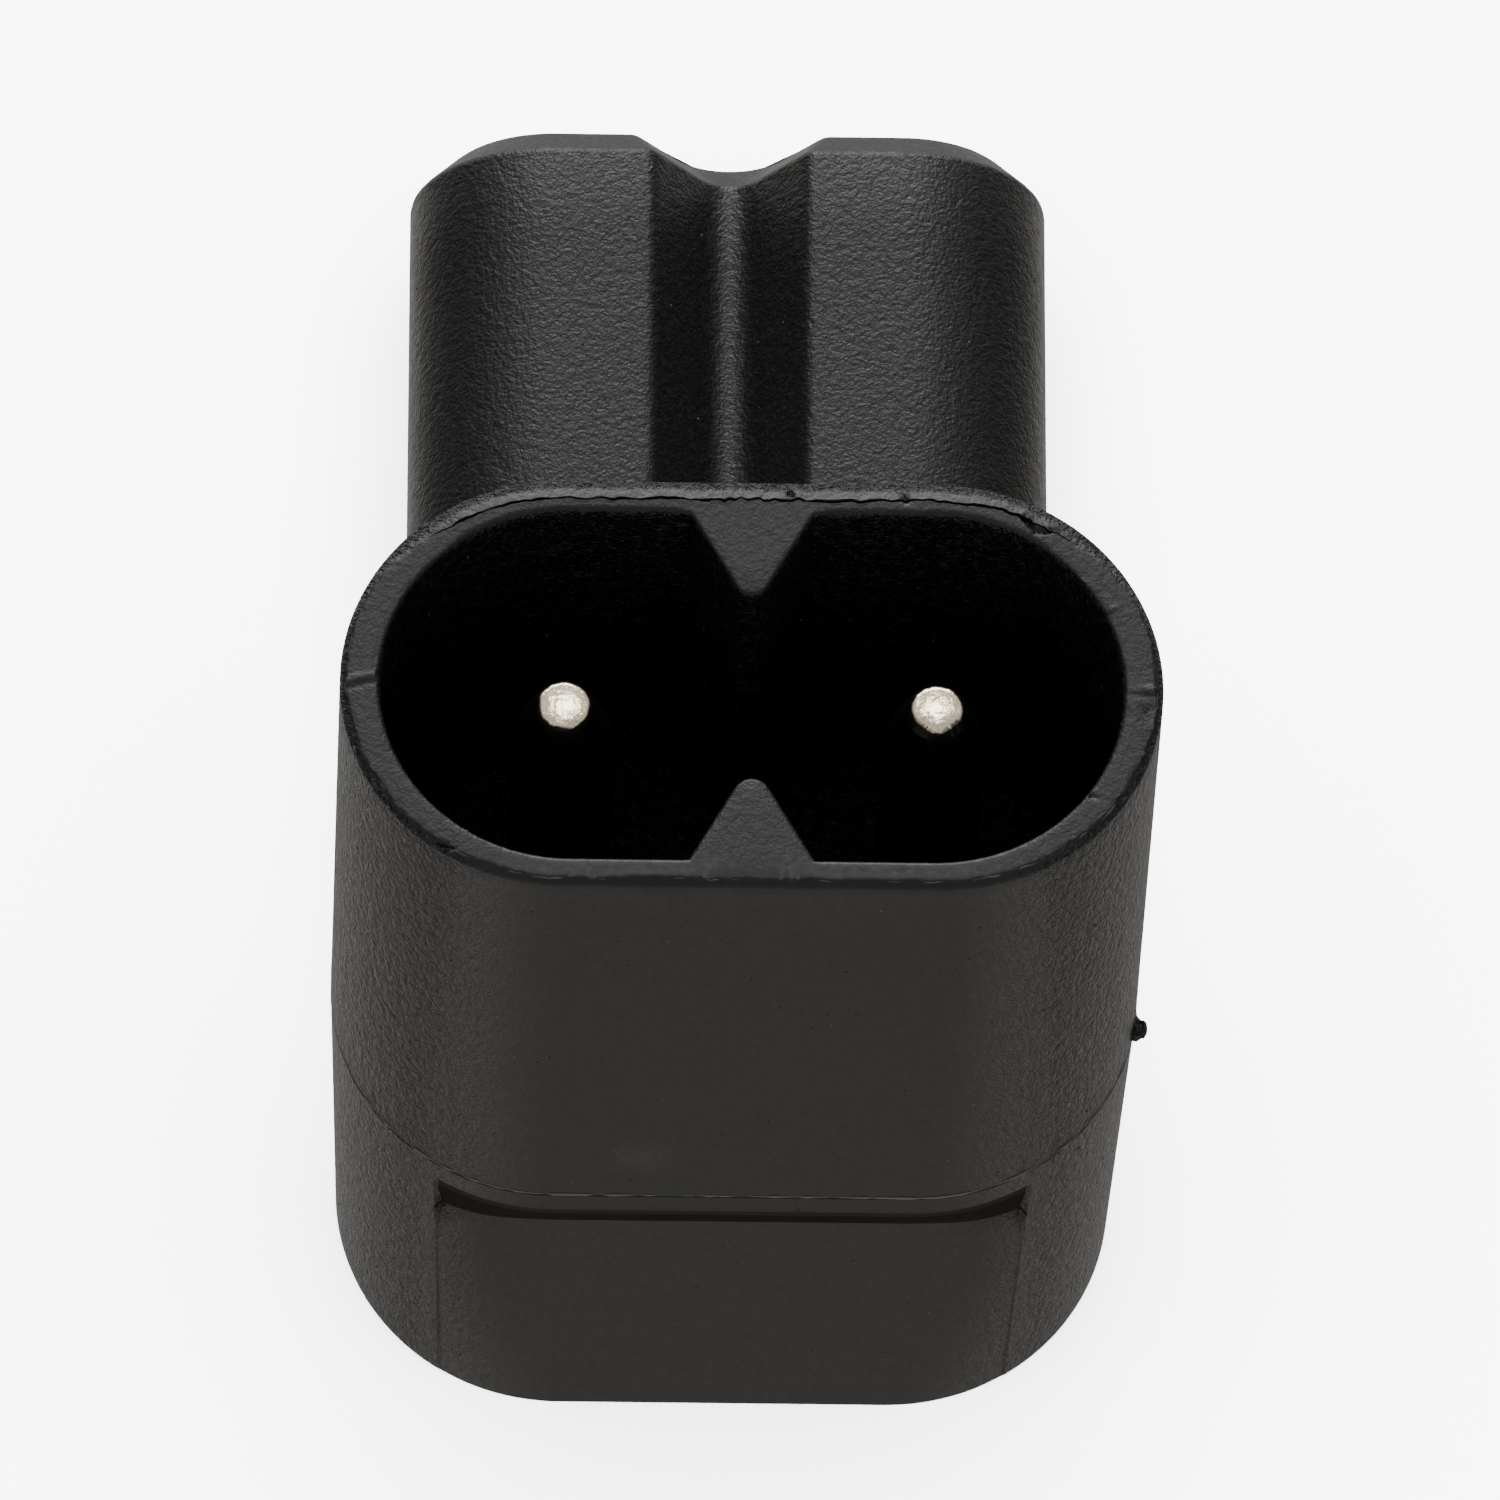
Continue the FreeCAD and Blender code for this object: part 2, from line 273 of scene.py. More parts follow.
upper_sky = blend_sky("Y", -0.6, 0.6, SKY_FRONT, SKY_BACK)
ground = blend_sky("Z", -1.0, -0.86, STRAIGHT_DOWN, blend_sky("Y", -0.5, 0.9, BELOW_FRONT, BELOW_BACK))
whole_sky = blend_sky("Z", -0.25, 0.25, ground, upper_sky)
cards = studio.add("ShaderNodeValToRGB", studio.maths("MULTIPLY_ADD", towards["X"], 0.5, 0.5))
stops = cards.color_ramp.elements
for to_right, strength in SIDE_STRENGTHS:
    stops.new((1 + to_right) / 2).color = (strength, strength, strength, 1)
stops.remove(stops[0])
stops.remove(stops[-1])
sky = studio.add("ShaderNodeBackground", Color=whole_sky, Strength=cards.outputs["Color"])
studio.add("ShaderNodeOutputWorld", Surface=sky.outputs[0])


def soft_box(name, azimuth, elevation, distance, size, radiance):
    """Square light that looks at the object from an azimuth (90 is behind it) and an elevation in degrees."""
    turn, rise = math.radians(azimuth), math.radians(elevation)
    direction = Vector((math.cos(turn) * math.cos(rise), math.sin(turn) * math.cos(rise), math.sin(rise)))
    light = bpy.data.lights.new(name, "AREA")
    light.size = size
    light.energy = radiance * math.pi * size ** 2
    lamp = bpy.data.objects.new(name, light)
    lamp.location = direction * distance + Vector((0, 0, RIM_Z * MM))
    lamp.rotation_euler = direction.to_track_quat("Z", "Y").to_euler()
    bpy.context.scene.collection.objects.link(lamp)


soft_box("back box", azimuth=92, elevation=24, distance=0.7, size=0.45, radiance=5.8)
soft_box("pin box", azimuth=87, elevation=65, distance=0.8, size=0.16, radiance=8.4)
print(f"{len(bpy.data.lights)} soft boxes, {len(stops)} steps of the sky from side to side")

# %% [markdown]
# The floor is a plain pale sheet. The photograph's object was lit apart from its white ground, so here a soft sun
# lights the floor alone, by light linking, and the floor neither shades the object from below nor shows in its
# gloss. The object's soft shadow still falls on it.

# %% Floor
FLOOR_SIZE = 6.0
FLOOR_GREY, FLOOR_ROUGHNESS = 0.82, 0.9
FLOOR_GAP = 0.01 * MM
FLOOR_SUN, FLOOR_SUN_SPREAD = 32.0, math.radians(70)

floor_mesh = bpy.data.meshes.new("floor")
corners = [(x * FLOOR_SIZE / 2, y * FLOOR_SIZE / 2, -FLOOR_GAP) for x, y in ((-1, -1), (1, -1), (1, 1), (-1, 1))]
floor_mesh.from_pydata(corners, [], [(0, 1, 2, 3)])
floor = bpy.data.objects.new("floor", floor_mesh)
bpy.context.scene.collection.objects.link(floor)
floor.visible_diffuse = False
floor.visible_glossy = False
floor.visible_shadow = False
floor_mesh.materials.append(shader_material("pale floor", lambda kit: kit.add(
    "ShaderNodeBsdfPrincipled", Base_Color=(FLOOR_GREY,) * 3, Roughness=FLOOR_ROUGHNESS)))

sun = bpy.data.objects.new("floor sun", bpy.data.lights.new("floor sun", "SUN"))
sun.data.energy = FLOOR_SUN
sun.data.angle = FLOOR_SUN_SPREAD
bpy.context.scene.collection.objects.link(sun)
floor_only = bpy.data.collections.new("floor only")
floor_only.objects.link(floor)
sun.light_linking.receiver_collection = floor_only
print(f"floor {FLOOR_SIZE:.0f} m wide, with a sun of its own")

# %% [markdown]
# Every outline on this object is a stadium: two straight sides and two half-round ends. The mouldings are built as
# stacks of such outlines with the same number of points, joined ring to ring, which gives full control over the
# small forms at the rim. The straight sides have extra points where the V ridges of the socket, or the waist of
# the plug, bend the outline.

# %% Outlines as rings of points
def vee(width, depth, tip_radius):
    """Half a V with a rounded tip: where its straight side ends (x, rise), its half width and its tip's centre."""
    half = width / 2
    centre = depth - tip_radius
    slant = math.hypot(half, centre)
    angle = math.atan2(centre, -half) - math.asin(tip_radius / slant)
    length = math.sqrt(slant ** 2 - tip_radius ** 2)
    return half + length * math.cos(angle), length * math.sin(angle), half, centre


class Stations:
    """Numbers of points along one stadium outline, and what every ring made with them shares."""

    def __init__(self, flank, side, tip, end):
        self.flank, self.side, self.tip, self.end = flank, side, tip, end
        self.straight = 2 * flank + 2 * side + tip
        self.count = 2 * (self.straight + end)
        turn = np.radians(np.linspace(-90, 90, end, endpoint=False))
        down, up = np.tile((0.0, -1.0), (self.straight, 1)), np.tile((0.0, 1.0), (self.straight, 1))
        right = np.c_[np.cos(turn), np.sin(turn)]
        self.normal = np.vstack([down, right, up, -right])

    def ring(self, straight, radius, width, depth, tip_radius, raised):
        """Outline around straight sides that reach to x = +-straight, with a V of that width and depth pressed
        into (raised = 1) the middle of both sides, or only its points without the V (raised = 0)."""
        touch, rise, half, centre = vee(width, depth, tip_radius)
        turn = np.arcsin(touch / tip_radius)
        arc = np.linspace(-turn, turn, self.tip, endpoint=False)
        outer = np.linspace(half, straight, self.flank, endpoint=False)
        x = np.r_[-straight + (outer - half),
                  np.linspace(-half, -touch, self.side, endpoint=False), tip_radius * np.sin(arc),
                  np.linspace(touch, half, self.side, endpoint=False), outer]
        bend = np.r_[np.zeros(self.flank), np.linspace(0, rise, self.side, endpoint=False),
                     centre + tip_radius * np.cos(arc), np.linspace(rise, 0, self.side, endpoint=False),
                     np.zeros(self.flank)]
        middle = np.vstack([np.c_[x, 0 * x], np.tile((straight, 0.0), (self.end, 1)),
                            np.c_[-x, 0 * x], np.tile((-straight, 0.0), (self.end, 1))])
        inward = np.r_[bend, np.zeros(self.end), bend, np.zeros(self.end)] * raised
        return middle + self.normal * (radius - inward)[:, None]


def away(ring):
    """Unit normals of a ring of points, to the right of its direction of travel."""
    along = np.roll(ring, -1, axis=0) - np.roll(ring, 1, axis=0)
    normal = np.c_[along[:, 1], -along[:, 0]]
    return normal / np.linalg.norm(normal, axis=1)[:, None]


def level(ring, z):
    """Ring of x and y with a height, or one height for each point."""
    return np.c_[ring, np.broadcast_to(z, len(ring))]


body = Stations(flank=46, side=34, tip=20, end=300)
print(f"{body.count} points round the body")

# %% [markdown]
# A stack of rings becomes a closed mesh: a point closes its first ring, quads join each ring to the next, and
# another point closes the last. Booleans then add or cut round parts. Edges sharper than 32 degrees stay sharp.

# %% Meshes from rings
SHARP_ANGLE = math.radians(32)
SAME_POINT = 1e-8


def add_object(name, mesh):
    """Object for a mesh, at the origin."""
    piece = bpy.data.objects.new(name, mesh)
    bpy.context.scene.collection.objects.link(piece)
    return piece


def finish_mesh(mesh):
    """Merges doubles, turns the faces outwards, and shades smooth with sharp edges by angle."""
    work = bmesh.new()
    work.from_mesh(mesh)
    bmesh.ops.remove_doubles(work, verts=work.verts, dist=SAME_POINT)
    bmesh.ops.recalc_face_normals(work, faces=work.faces)
    work.to_mesh(mesh)
    work.free()
    mesh.shade_smooth()
    mesh.set_sharp_from_angle(angle=SHARP_ANGLE)


def closed_stack(name, rings, first, last):
    """Closed mesh through rings of points in millimetres, from the point first to the point last."""
    count, layers = len(rings[0]), len(rings)
    points = np.vstack([*rings, [first], [last]]) * MM
    this = np.arange(count)
    after = (this + 1) % count
    faces = []
    for layer in range(layers - 1):
        low = layer * count
        quads = np.c_[this + low, after + low, after + low + count, this + low + count]
        faces.extend(map(tuple, quads.tolist()))
    top = (layers - 1) * count
    faces.extend((int(b), int(a), layers * count) for a, b in zip(this, after))
    faces.extend((int(a) + top, int(b) + top, layers * count + 1) for a, b in zip(this, after))
    mesh = bpy.data.meshes.new(name)
    mesh.from_pydata(points.tolist(), [], faces)
    finish_mesh(mesh)
    return add_object(name, mesh)


def turned(name, profile, start, axis, sides=96, uneven=0.0, seed=0):
    """Closed turned mesh from (distance along the axis, radius) in millimetres, where the axis is 0, 1 or 2 for X,
    Y or Z. Uneven is how far the radius varies at random, as a share of it."""
    angle = np.linspace(0, 2 * math.pi, sides, endpoint=False)
    random = np.random.default_rng(seed)

    def place(along, radius):
        ring = np.tile(np.array(start, float), (sides, 1))
        radius = radius * (1 + uneven * random.uniform(-1, 1, sides))
        ring[:, (axis + 1) % 3] += radius * np.cos(angle)
        ring[:, (axis + 2) % 3] += radius * np.sin(angle)
        ring[:, axis] += along
        return ring

    rings = [place(along, radius) for along, radius in profile]
    return closed_stack(name, rings, rings[0].mean(axis=0), rings[-1].mean(axis=0))


def box_tool(name, low, high):
    """Closed box between two corners in millimetres."""
    mesh = bpy.data.meshes.new(name)
    work = bmesh.new()
    bmesh.ops.create_cube(work, size=1)
    low, high = Vector(low) * MM, Vector(high) * MM
    for vert in work.verts:
        vert.co = Vector((low[i] if vert.co[i] < 0 else high[i] for i in range(3)))
    work.to_mesh(mesh)
    work.free()
    return add_object(name, mesh)


def combine(piece, tool, operation):
    """Joins the tool to the piece or cuts it away, then drops the tool."""
    modifier = piece.modifiers.new(operation, "BOOLEAN")
    modifier.operation = operation
    modifier.solver = "EXACT"
    modifier.object = tool
    graph = bpy.context.evaluated_depsgraph_get()
    mesh = bpy.data.meshes.new_from_object(piece.evaluated_get(graph))
    piece.modifiers.clear()
    piece.data = mesh
    bpy.data.objects.remove(tool)


print(f"edges sharper than {math.degrees(SHARP_ANGLE):.0f} degrees stay sharp")

# %% [markdown]
# The front moulding is one stack of rings. From the middle of the socket's floor it climbs the cavity wall, rolls
# over the rim, runs down the outside to the seam and back up inside the spigot. At the rim the real moulding has a
# flat band, flush with the ridges, then a ragged parting line and a bevel: wide and nearly flat on the far side,
# narrow and steep on the near side. The parting line is an irregular crack, made by moving those rings at random.
# Each of its sizes is given for the near side, with what the far side has more.

# %% Rim of the front moulding
RIM_BELOW_TOP = 0.04
INNER_EDGE, FAR_INNER_EDGE, INNER_EDGE_STEPS = 0.12, 0.21, 5
BEVEL_WIDTH, FAR_BEVEL_WIDER, BEVEL_STEPS = 0.17, 0.31, 6
BEVEL_DROP, FAR_BEVEL_LESS = 0.17, 0.03
ROUNDNESS, FAR_ROUNDNESS_LESS = 0.42, 0.26
CRACK_DEPTH, FAR_CRACK_DEEPER = 0.014, 0.06
CRACK_HALF_WIDTH, FAR_CRACK_WIDER = 0.012, 0.016
SLOW_WOBBLE, WOBBLE, FAR_WOBBLE_MORE, FINE_WOBBLE = 0.030, 0.022, 0.014, 0.012
BURR_HEIGHT, BURR_FROM = 0.02, 0.35
INNER_LIP_DIP, OUTER_LIP_DIP, FAR_OUTER_LIP_RISE = 0.008, 0.022, 0.02
BAND_SHARES, BESIDE_CRACK = (0.25, 0.5, 0.7), 0.045

facing = body.normal[:, 1]


def rise_between(value, low, high):
    """Smooth step from 0 to 1."""
    share = np.clip((value - low) / (high - low), 0, 1)
    return share * share * (3 - 2 * share)


def ripple(knots, seed):
    """Smooth random wave round the body's stations, between -1 and 1."""
    values = np.random.default_rng(seed).uniform(-1, 1, knots)
    place = np.arange(body.count) * knots / body.count
    knot = place.astype(int)
    share = rise_between(place - knot, 0, 1)
    return values[knot % knots] * (1 - share) + values[(knot + 1) % knots] * share


def depth_at(z):
    """Depth of the body at a height."""
    return DEPTH_AT_BACK + z / RIM_Z * (DEPTH_AT_RIM - DEPTH_AT_BACK)


def width_at(z):
    """Width of the body at a height."""
    if z < SEAM_Z:
        return WIDTH_AT_BACK + z / SEAM_Z * (WIDTH_AT_SEAM - WIDTH_AT_BACK)
    return WIDTH_AT_SEAM + (z - SEAM_Z) / (RIM_Z - SEAM_Z) * (WIDTH_AT_RIM - WIDTH_AT_SEAM)


def outline(z, inset=0.0):
    """The body's outline at a height, moved inwards. Above the seam it leans back a little towards the rim."""
    radius = depth_at(z) / 2
    ring = body.ring(width_at(z) / 2 - radius, radius - inset, KEY_WIDTH, KEY_HEIGHT, KEY_TIP_RADIUS, 0)
    return ring + (0, RIM_LEAN * max(0.0, (z - SEAM_Z) / (RIM_Z - SEAM_Z)))


opening = body.ring((OPENING_WIDTH - OPENING_DEPTH) / 2, OPENING_DEPTH / 2, KEY_WIDTH, KEY_HEIGHT,
                    KEY_TIP_RADIUS, 1)
into_wall = away(opening)
outer = outline(RIM_Z)
flat_z = RIM_Z - RIM_BELOW_TOP

far_side = rise_between(facing, 0.74, 0.88)
beside_ridge = rise_between(np.abs(opening[:, 0]), KEY_WIDTH / 2, KEY_WIDTH / 2 + 0.5)
inner_edge = (INNER_EDGE + (FAR_INNER_EDGE - INNER_EDGE) * far_side * beside_ridge)[:, None]
bevel_width = BEVEL_WIDTH + FAR_BEVEL_WIDER * rise_between(facing, 0.35, 1.0)
bevel_drop = BEVEL_DROP - FAR_BEVEL_LESS * rise_between(facing, 0.2, 0.9)
roundness = ROUNDNESS - FAR_ROUNDNESS_LESS * rise_between(facing, -0.2, 0.6)
crack_depth = CRACK_DEPTH + FAR_CRACK_DEEPER * far_side
crack_half_width = (CRACK_HALF_WIDTH + FAR_CRACK_WIDER * far_side) * (1 + 0.5 * ripple(150, 6))
wobble = (SLOW_WOBBLE * ripple(60, 3) + (WOBBLE + FAR_WOBBLE_MORE * far_side) * ripple(230, 4)
          + FINE_WOBBLE * ripple(480, 5))
burr = BURR_HEIGHT * np.clip(ripple(330, 8) - BURR_FROM, 0, 1) * (1 - far_side)

inner_lip_inset = bevel_width + wobble + crack_half_width
outer_lip_inset = bevel_width + wobble - crack_half_width
outer_lip_z = flat_z + FAR_OUTER_LIP_RISE * far_side - OUTER_LIP_DIP * (1 - far_side)


def rim_ring(inset, z):
    """Ring at a distance inside the rim's outer edge, which follows the ragged parting line."""
    return level(outer - body.normal * np.broadcast_to(inset, body.count)[:, None], z)


rim = []
for step in range(INNER_EDGE_STEPS):
    turn = math.radians(90 * step / (INNER_EDGE_STEPS - 1))
    rim.append(level(opening + into_wall * inner_edge * (1 - math.cos(turn)),
                     flat_z - inner_edge[:, 0] * (1 - math.sin(turn))))
inner_lip = rim_ring(inner_lip_inset, flat_z + burr - INNER_LIP_DIP * (1 - far_side))
for share in BAND_SHARES:
    between = rim[INNER_EDGE_STEPS - 1] * (1 - share) + inner_lip * share
    between[:, 2] = flat_z
    rim.append(between)
rim.append(rim_ring(inner_lip_inset + BESIDE_CRACK, flat_z))
rim += [inner_lip, rim_ring(bevel_width + wobble, flat_z - crack_depth), rim_ring(outer_lip_inset, outer_lip_z)]
for step in range(1, BEVEL_STEPS + 1):
    share = step / BEVEL_STEPS
    straight_inset = outer_lip_inset * (1 - share)
    straight_z = outer_lip_z + (flat_z - bevel_drop - outer_lip_z) * share
    bulge = roundness * 2 * share * (1 - share)
    rim.append(rim_ring(straight_inset - bulge * outer_lip_inset * 0.5, straight_z + bulge * bevel_drop * 0.5))
print(f"{len(rim)} rings over the rim")

# %% [markdown]
# A few marks on the rim are placed by the pixel where the photograph shows them: two weld marks where the melt
# met, some pits and crumbs. Each one is a small ridge or dent with a Gaussian section, added to the height of the
# rim's points.

# %% Marks on the rim
MARKS_FADE = 0.02, 0.10
RIM_MARKS = [
    # from pixel, to pixel, half width in mm, height in mm
    ((347, 680), (381, 671), 0.08, 0.035),
    ((347, 687), (382, 679), 0.045, -0.025),
    ((1146, 688), (1154, 690), 0.09, 0.05),
    ((1122, 694), (1150, 696), 0.04, -0.018),
    ((1150, 705), (1134, 752), 0.035, -0.05),
    ((1024, 512), (1037, 526), 0.05, 0.05),
    ((1037, 526), (1055, 526), 0.05, 0.06),
    ((1021, 516), (1034, 530), 0.035, -0.06),
    ((1034, 531), (1050, 532), 0.035, -0.06),
    ((1082, 574), (1090, 596), 0.05, -0.03),
    ((1104, 612), (1118, 606), 0.05, 0.03),
    ((789, 492), (792, 494), 0.05, -0.10),
    ((903, 494), (906, 500), 0.07, -0.09),
    ((438, 842), (452, 848), 0.05, -0.08),
    ((446, 848), (455, 852), 0.06, 0.05),
    ((1076, 788), (1092, 796), 0.06, -0.06),
    ((962, 852), (968, 858), 0.07, -0.05),
]


def mark_rim(ring):
    """Height that the marks add at each point of a ring, fading out where the bevel meets the wall."""
    total = np.zeros(len(ring))
    from_edge = ((outer - ring[:, :2]) * body.normal).sum(axis=1)
    for start, end, half_width, height in RIM_MARKS:
        a, b = on_level(start, RIM_Z), on_level(end, RIM_Z)
        along = b - a
        share = np.clip((ring[:, :2] - a) @ along / (along @ along), 0, 1)
        distance = np.linalg.norm(ring[:, :2] - a - share[:, None] * along, axis=1)
        total += height * np.exp(-(distance / half_width) ** 2)
    return total * rise_between(from_edge, *MARKS_FADE)


for ring in rim[INNER_EDGE_STEPS - 1:]:
    ring[:, 2] = np.minimum(ring[:, 2] + mark_rim(ring), RIM_Z)
print(f"{len(RIM_MARKS)} marks on the rim")

# %% [markdown]
# The walls and the spigot complete the stack. The two pin roots are pressed through the floor, so two round holes
# are cut there, and on the right the torn stub of the moulding gate is joined to the wall.

# %% Front moulding
CAVITY_LEVELS = (SOCKET_FLOOR_Z, 19.0, 22.0, 25.0, 27.0, 28.3, 29.0)
WALL_LEVELS = 24
SEAM_RAGGEDNESS = 0.022
SPIGOT_HEIGHT, SPIGOT_OUTSIDE, SPIGOT_INSIDE = 1.6, 1.55, 2.45
CEILING_Z = SEAM_Z + 0.6
GATE_ROOT_X, GATE_Y, GATE_Z = WIDTH_AT_SEAM / 2 - 0.15, -1.0, SEAM_Z + 0.35
GATE_PROFILE = [(0.0, 0.27), (0.15, 0.26), (0.24, 0.20), (0.30, 0.21), (0.36, 0.15), (0.385, 0.06)]
CUT_PAST = 1

rings = [level(opening, z) for z in CAVITY_LEVELS] + rim
wall_top = flat_z - bevel_drop
wall_end = SEAM_Z + SEAM_EDGE + SEAM_RAGGEDNESS * ripple(480, 12)
for share in np.linspace(0, 1, WALL_LEVELS)[1:]:
    z = wall_top + (wall_end - wall_top) * share
    rings.append(level(outline(float(z.mean())), z))
spigot_end = SEAM_Z - SPIGOT_HEIGHT
for z, inset in ((SEAM_Z, SEAM_EDGE), (SEAM_Z, SPIGOT_OUTSIDE), (spigot_end, SPIGOT_OUTSIDE),
                 (spigot_end, SPIGOT_INSIDE)):
    rings.append(level(outline(z, inset), z))
rings.append(level(outline(SEAM_Z, SPIGOT_INSIDE), CEILING_Z))
front = closed_stack("front_moulding", rings, (0, 0, SOCKET_FLOOR_Z), (0, 0, CEILING_Z))
for side in (-1, 1):
    hole = [(-CUT_PAST, PIN_ROOT_RADIUS), (SOCKET_FLOOR_Z - CEILING_Z + CUT_PAST, PIN_ROOT_RADIUS)]
    combine(front, turned("root hole", hole, (side * POLE_X, 0, CEILING_Z), 2), "DIFFERENCE")
gate = turned("gate", GATE_PROFILE, (GATE_ROOT_X, GATE_Y, GATE_Z), 0, sides=14, uneven=0.22, seed=5)
combine(front, gate, "UNION")
finish_mesh(front.data)
print(f"front moulding: {len(front.data.polygons)} faces")

# %% [markdown]
# The back moulding is a box with a slightly rounded edge at its back. In its front is a shallow bare panel. A lip
# slopes into it below the seam, down to a ledge. From there the panel thins out towards the back, and towards its
# sides it fades into the round ends.

# %% Back moulding: box with the bare panel
PANEL_HALF_WIDTH, PANEL_FADE = 7.0, (0.62, 1.05)
LIP_TOP_Z, LEDGE_Z = SEAM_Z - 0.65, SEAM_Z - 2.75
LIP_ONSET, LIP_SLOPE = 0.6, 0.335
SINK_BELOW_LEDGE, SINK_AT_BACK = 0.78, 0.04
STEP_AT_SIDES, LIP_SHARE_AT_SIDES, FADE_BELOW_LEDGE = 0.03, 0.45, 20
POCKET_WALL, POCKET_FLOOR = 1.5, 1.6

half_way = outline(SEAM_Z / 2)
across = np.abs(half_way[:, 0]) / PANEL_HALF_WIDTH
in_panel = (across < 1) & (half_way[:, 1] < 0)
towards_middle = 1 - rise_between(across, *PANEL_FADE)


def panel_sink(z):
    """How far the panel, or the lip over it, lies inside the wall at a height, for each station."""
    if z >= LEDGE_Z:
        below_top = max(0.0, LIP_TOP_Z - z)
        onset = min(below_top, LIP_ONSET)
        sink = LIP_SLOPE * (onset ** 2 / (2 * LIP_ONSET) + below_top - onset)
        return in_panel * sink * (LIP_SHARE_AT_SIDES + (1 - LIP_SHARE_AT_SIDES) * towards_middle)
    sink = SINK_AT_BACK + z / LEDGE_Z * (SINK_BELOW_LEDGE - SINK_AT_BACK)
    fade = (z / LEDGE_Z) ** FADE_BELOW_LEDGE
    at_sides = STEP_AT_SIDES + LIP_SHARE_AT_SIDES * (SINK_BELOW_LEDGE - STEP_AT_SIDES) * fade
    return in_panel * (at_sides + (sink - at_sides) * towards_middle)


levels = [(BACK_ROUNDING * (1 - math.cos(a)), BACK_ROUNDING * (1 - math.sin(a)))
          for a in np.radians(np.linspace(0, 90, 7))]
levels += [(z, 0.0) for z in np.linspace(0.7, LEDGE_Z - 0.02, 18)]
levels += [(z, 0.0) for z in np.linspace(LEDGE_Z, LIP_TOP_Z, 12)]
levels += [(SEAM_Z - SEAM_EDGE, 0.0), (SEAM_Z, SEAM_EDGE)]
rings = []
for z, inset in levels:
    sink = np.maximum(panel_sink(z), inset)
    rings.append(level(outline(z) - body.normal * sink[:, None], z))
for z in (SEAM_Z, POCKET_FLOOR):
    rings.append(level(outline(z, POCKET_WALL), z))
back = closed_stack("back_moulding", rings, (0, 0, 0), (0, 0, POCKET_FLOOR))
print(f"back box: {len(back.data.polygons)} faces")

# %% [markdown]
# The skin of the plug leaves the box behind. Its outline has a waist above and below, and all of its tip is
# bevelled, the waist too. The rings of its tip move inwards, and the waist's V widens as they do. The room for the
# insulating core and the two entry holes are then cut out of it.

# %% Back moulding: plug
PLUG_START_Y = 4.4
PLUG_LEVELS = 10
EDGE_SOFTNESS = 0.10
SHOULDER_SMOOTHING = 8
CORE_RADIUS, CORE_WEB, CORE_BACK_Y = 2.3, 1.6, 2.5
CORE_TIP_Y = core_high[1]
ENTRY_RADIUS, ENTRY_BEVEL = 1.45, 0.25

plug = Stations(flank=34, side=26, tip=20, end=170)
waist_touch, waist_rise, waist_half, waist_centre = vee(WAIST_WIDTH, WAIST_DEPTH, WAIST_RADIUS)
waist_slope = math.atan2(waist_rise, waist_half - waist_touch)


def plug_ring(y, inset):
    """The plug's outline, moved inwards: the waist's V widens as its edges move into the plastic."""
    radius = PLUG_THICKNESS / 2 - inset
    half = waist_half + inset * math.tan(waist_slope / 2)
    tip_radius = WAIST_RADIUS + inset
    xz = plug.ring((PLUG_WIDTH - PLUG_THICKNESS) / 2, radius, 2 * half, waist_centre - inset + tip_radius,
                   tip_radius, 1)
    for _ in range(SHOULDER_SMOOTHING):
        xz = (np.roll(xz, 1, axis=0) + 2 * xz + np.roll(xz, -1, axis=0)) / 4
    return np.c_[xz[:, 0], np.full(plug.count, y), xz[:, 1] + PLUG_Z]


bevel_y = PLUG_TIP_Y - PLUG_BEVEL
soft = EDGE_SOFTNESS
rings = [plug_ring(y, 0) for y in np.linspace(PLUG_START_Y, bevel_y - soft, PLUG_LEVELS)]
for y, inset in ((bevel_y + soft * 0.1, soft * 0.25), (bevel_y + soft, soft),
                 (PLUG_TIP_Y - soft, PLUG_BEVEL - soft), (PLUG_TIP_Y - soft * 0.25, PLUG_BEVEL - soft * 0.1),
                 (PLUG_TIP_Y, PLUG_BEVEL + soft)):
    rings.append(plug_ring(y, inset))
skin = closed_stack("plug skin", rings, (0, PLUG_START_Y, PLUG_Z), (0, PLUG_TIP_Y, PLUG_Z))
combine(back, skin, "UNION")

barrel = [(CORE_BACK_Y, CORE_RADIUS), (CORE_TIP_Y, CORE_RADIUS)]
entry = [(CORE_TIP_Y - CUT_PAST, ENTRY_RADIUS), (PLUG_TIP_Y - ENTRY_BEVEL, ENTRY_RADIUS),
         (PLUG_TIP_Y + ENTRY_BEVEL, ENTRY_RADIUS + 2 * ENTRY_BEVEL)]
for side in (-1, 1):
    for name, profile in (("barrel", barrel), ("entry", entry)):
        combine(back, turned(name, profile, (side * POLE_X, 0, PLUG_Z), 1), "DIFFERENCE")
web = box_tool("web", (-POLE_X, CORE_BACK_Y, PLUG_Z - CORE_WEB / 2), (POLE_X, CORE_TIP_Y, PLUG_Z + CORE_WEB / 2))
combine(back, web, "DIFFERENCE")
finish_mesh(back.data)
print(f"back moulding: {len(back.data.polygons)} faces")
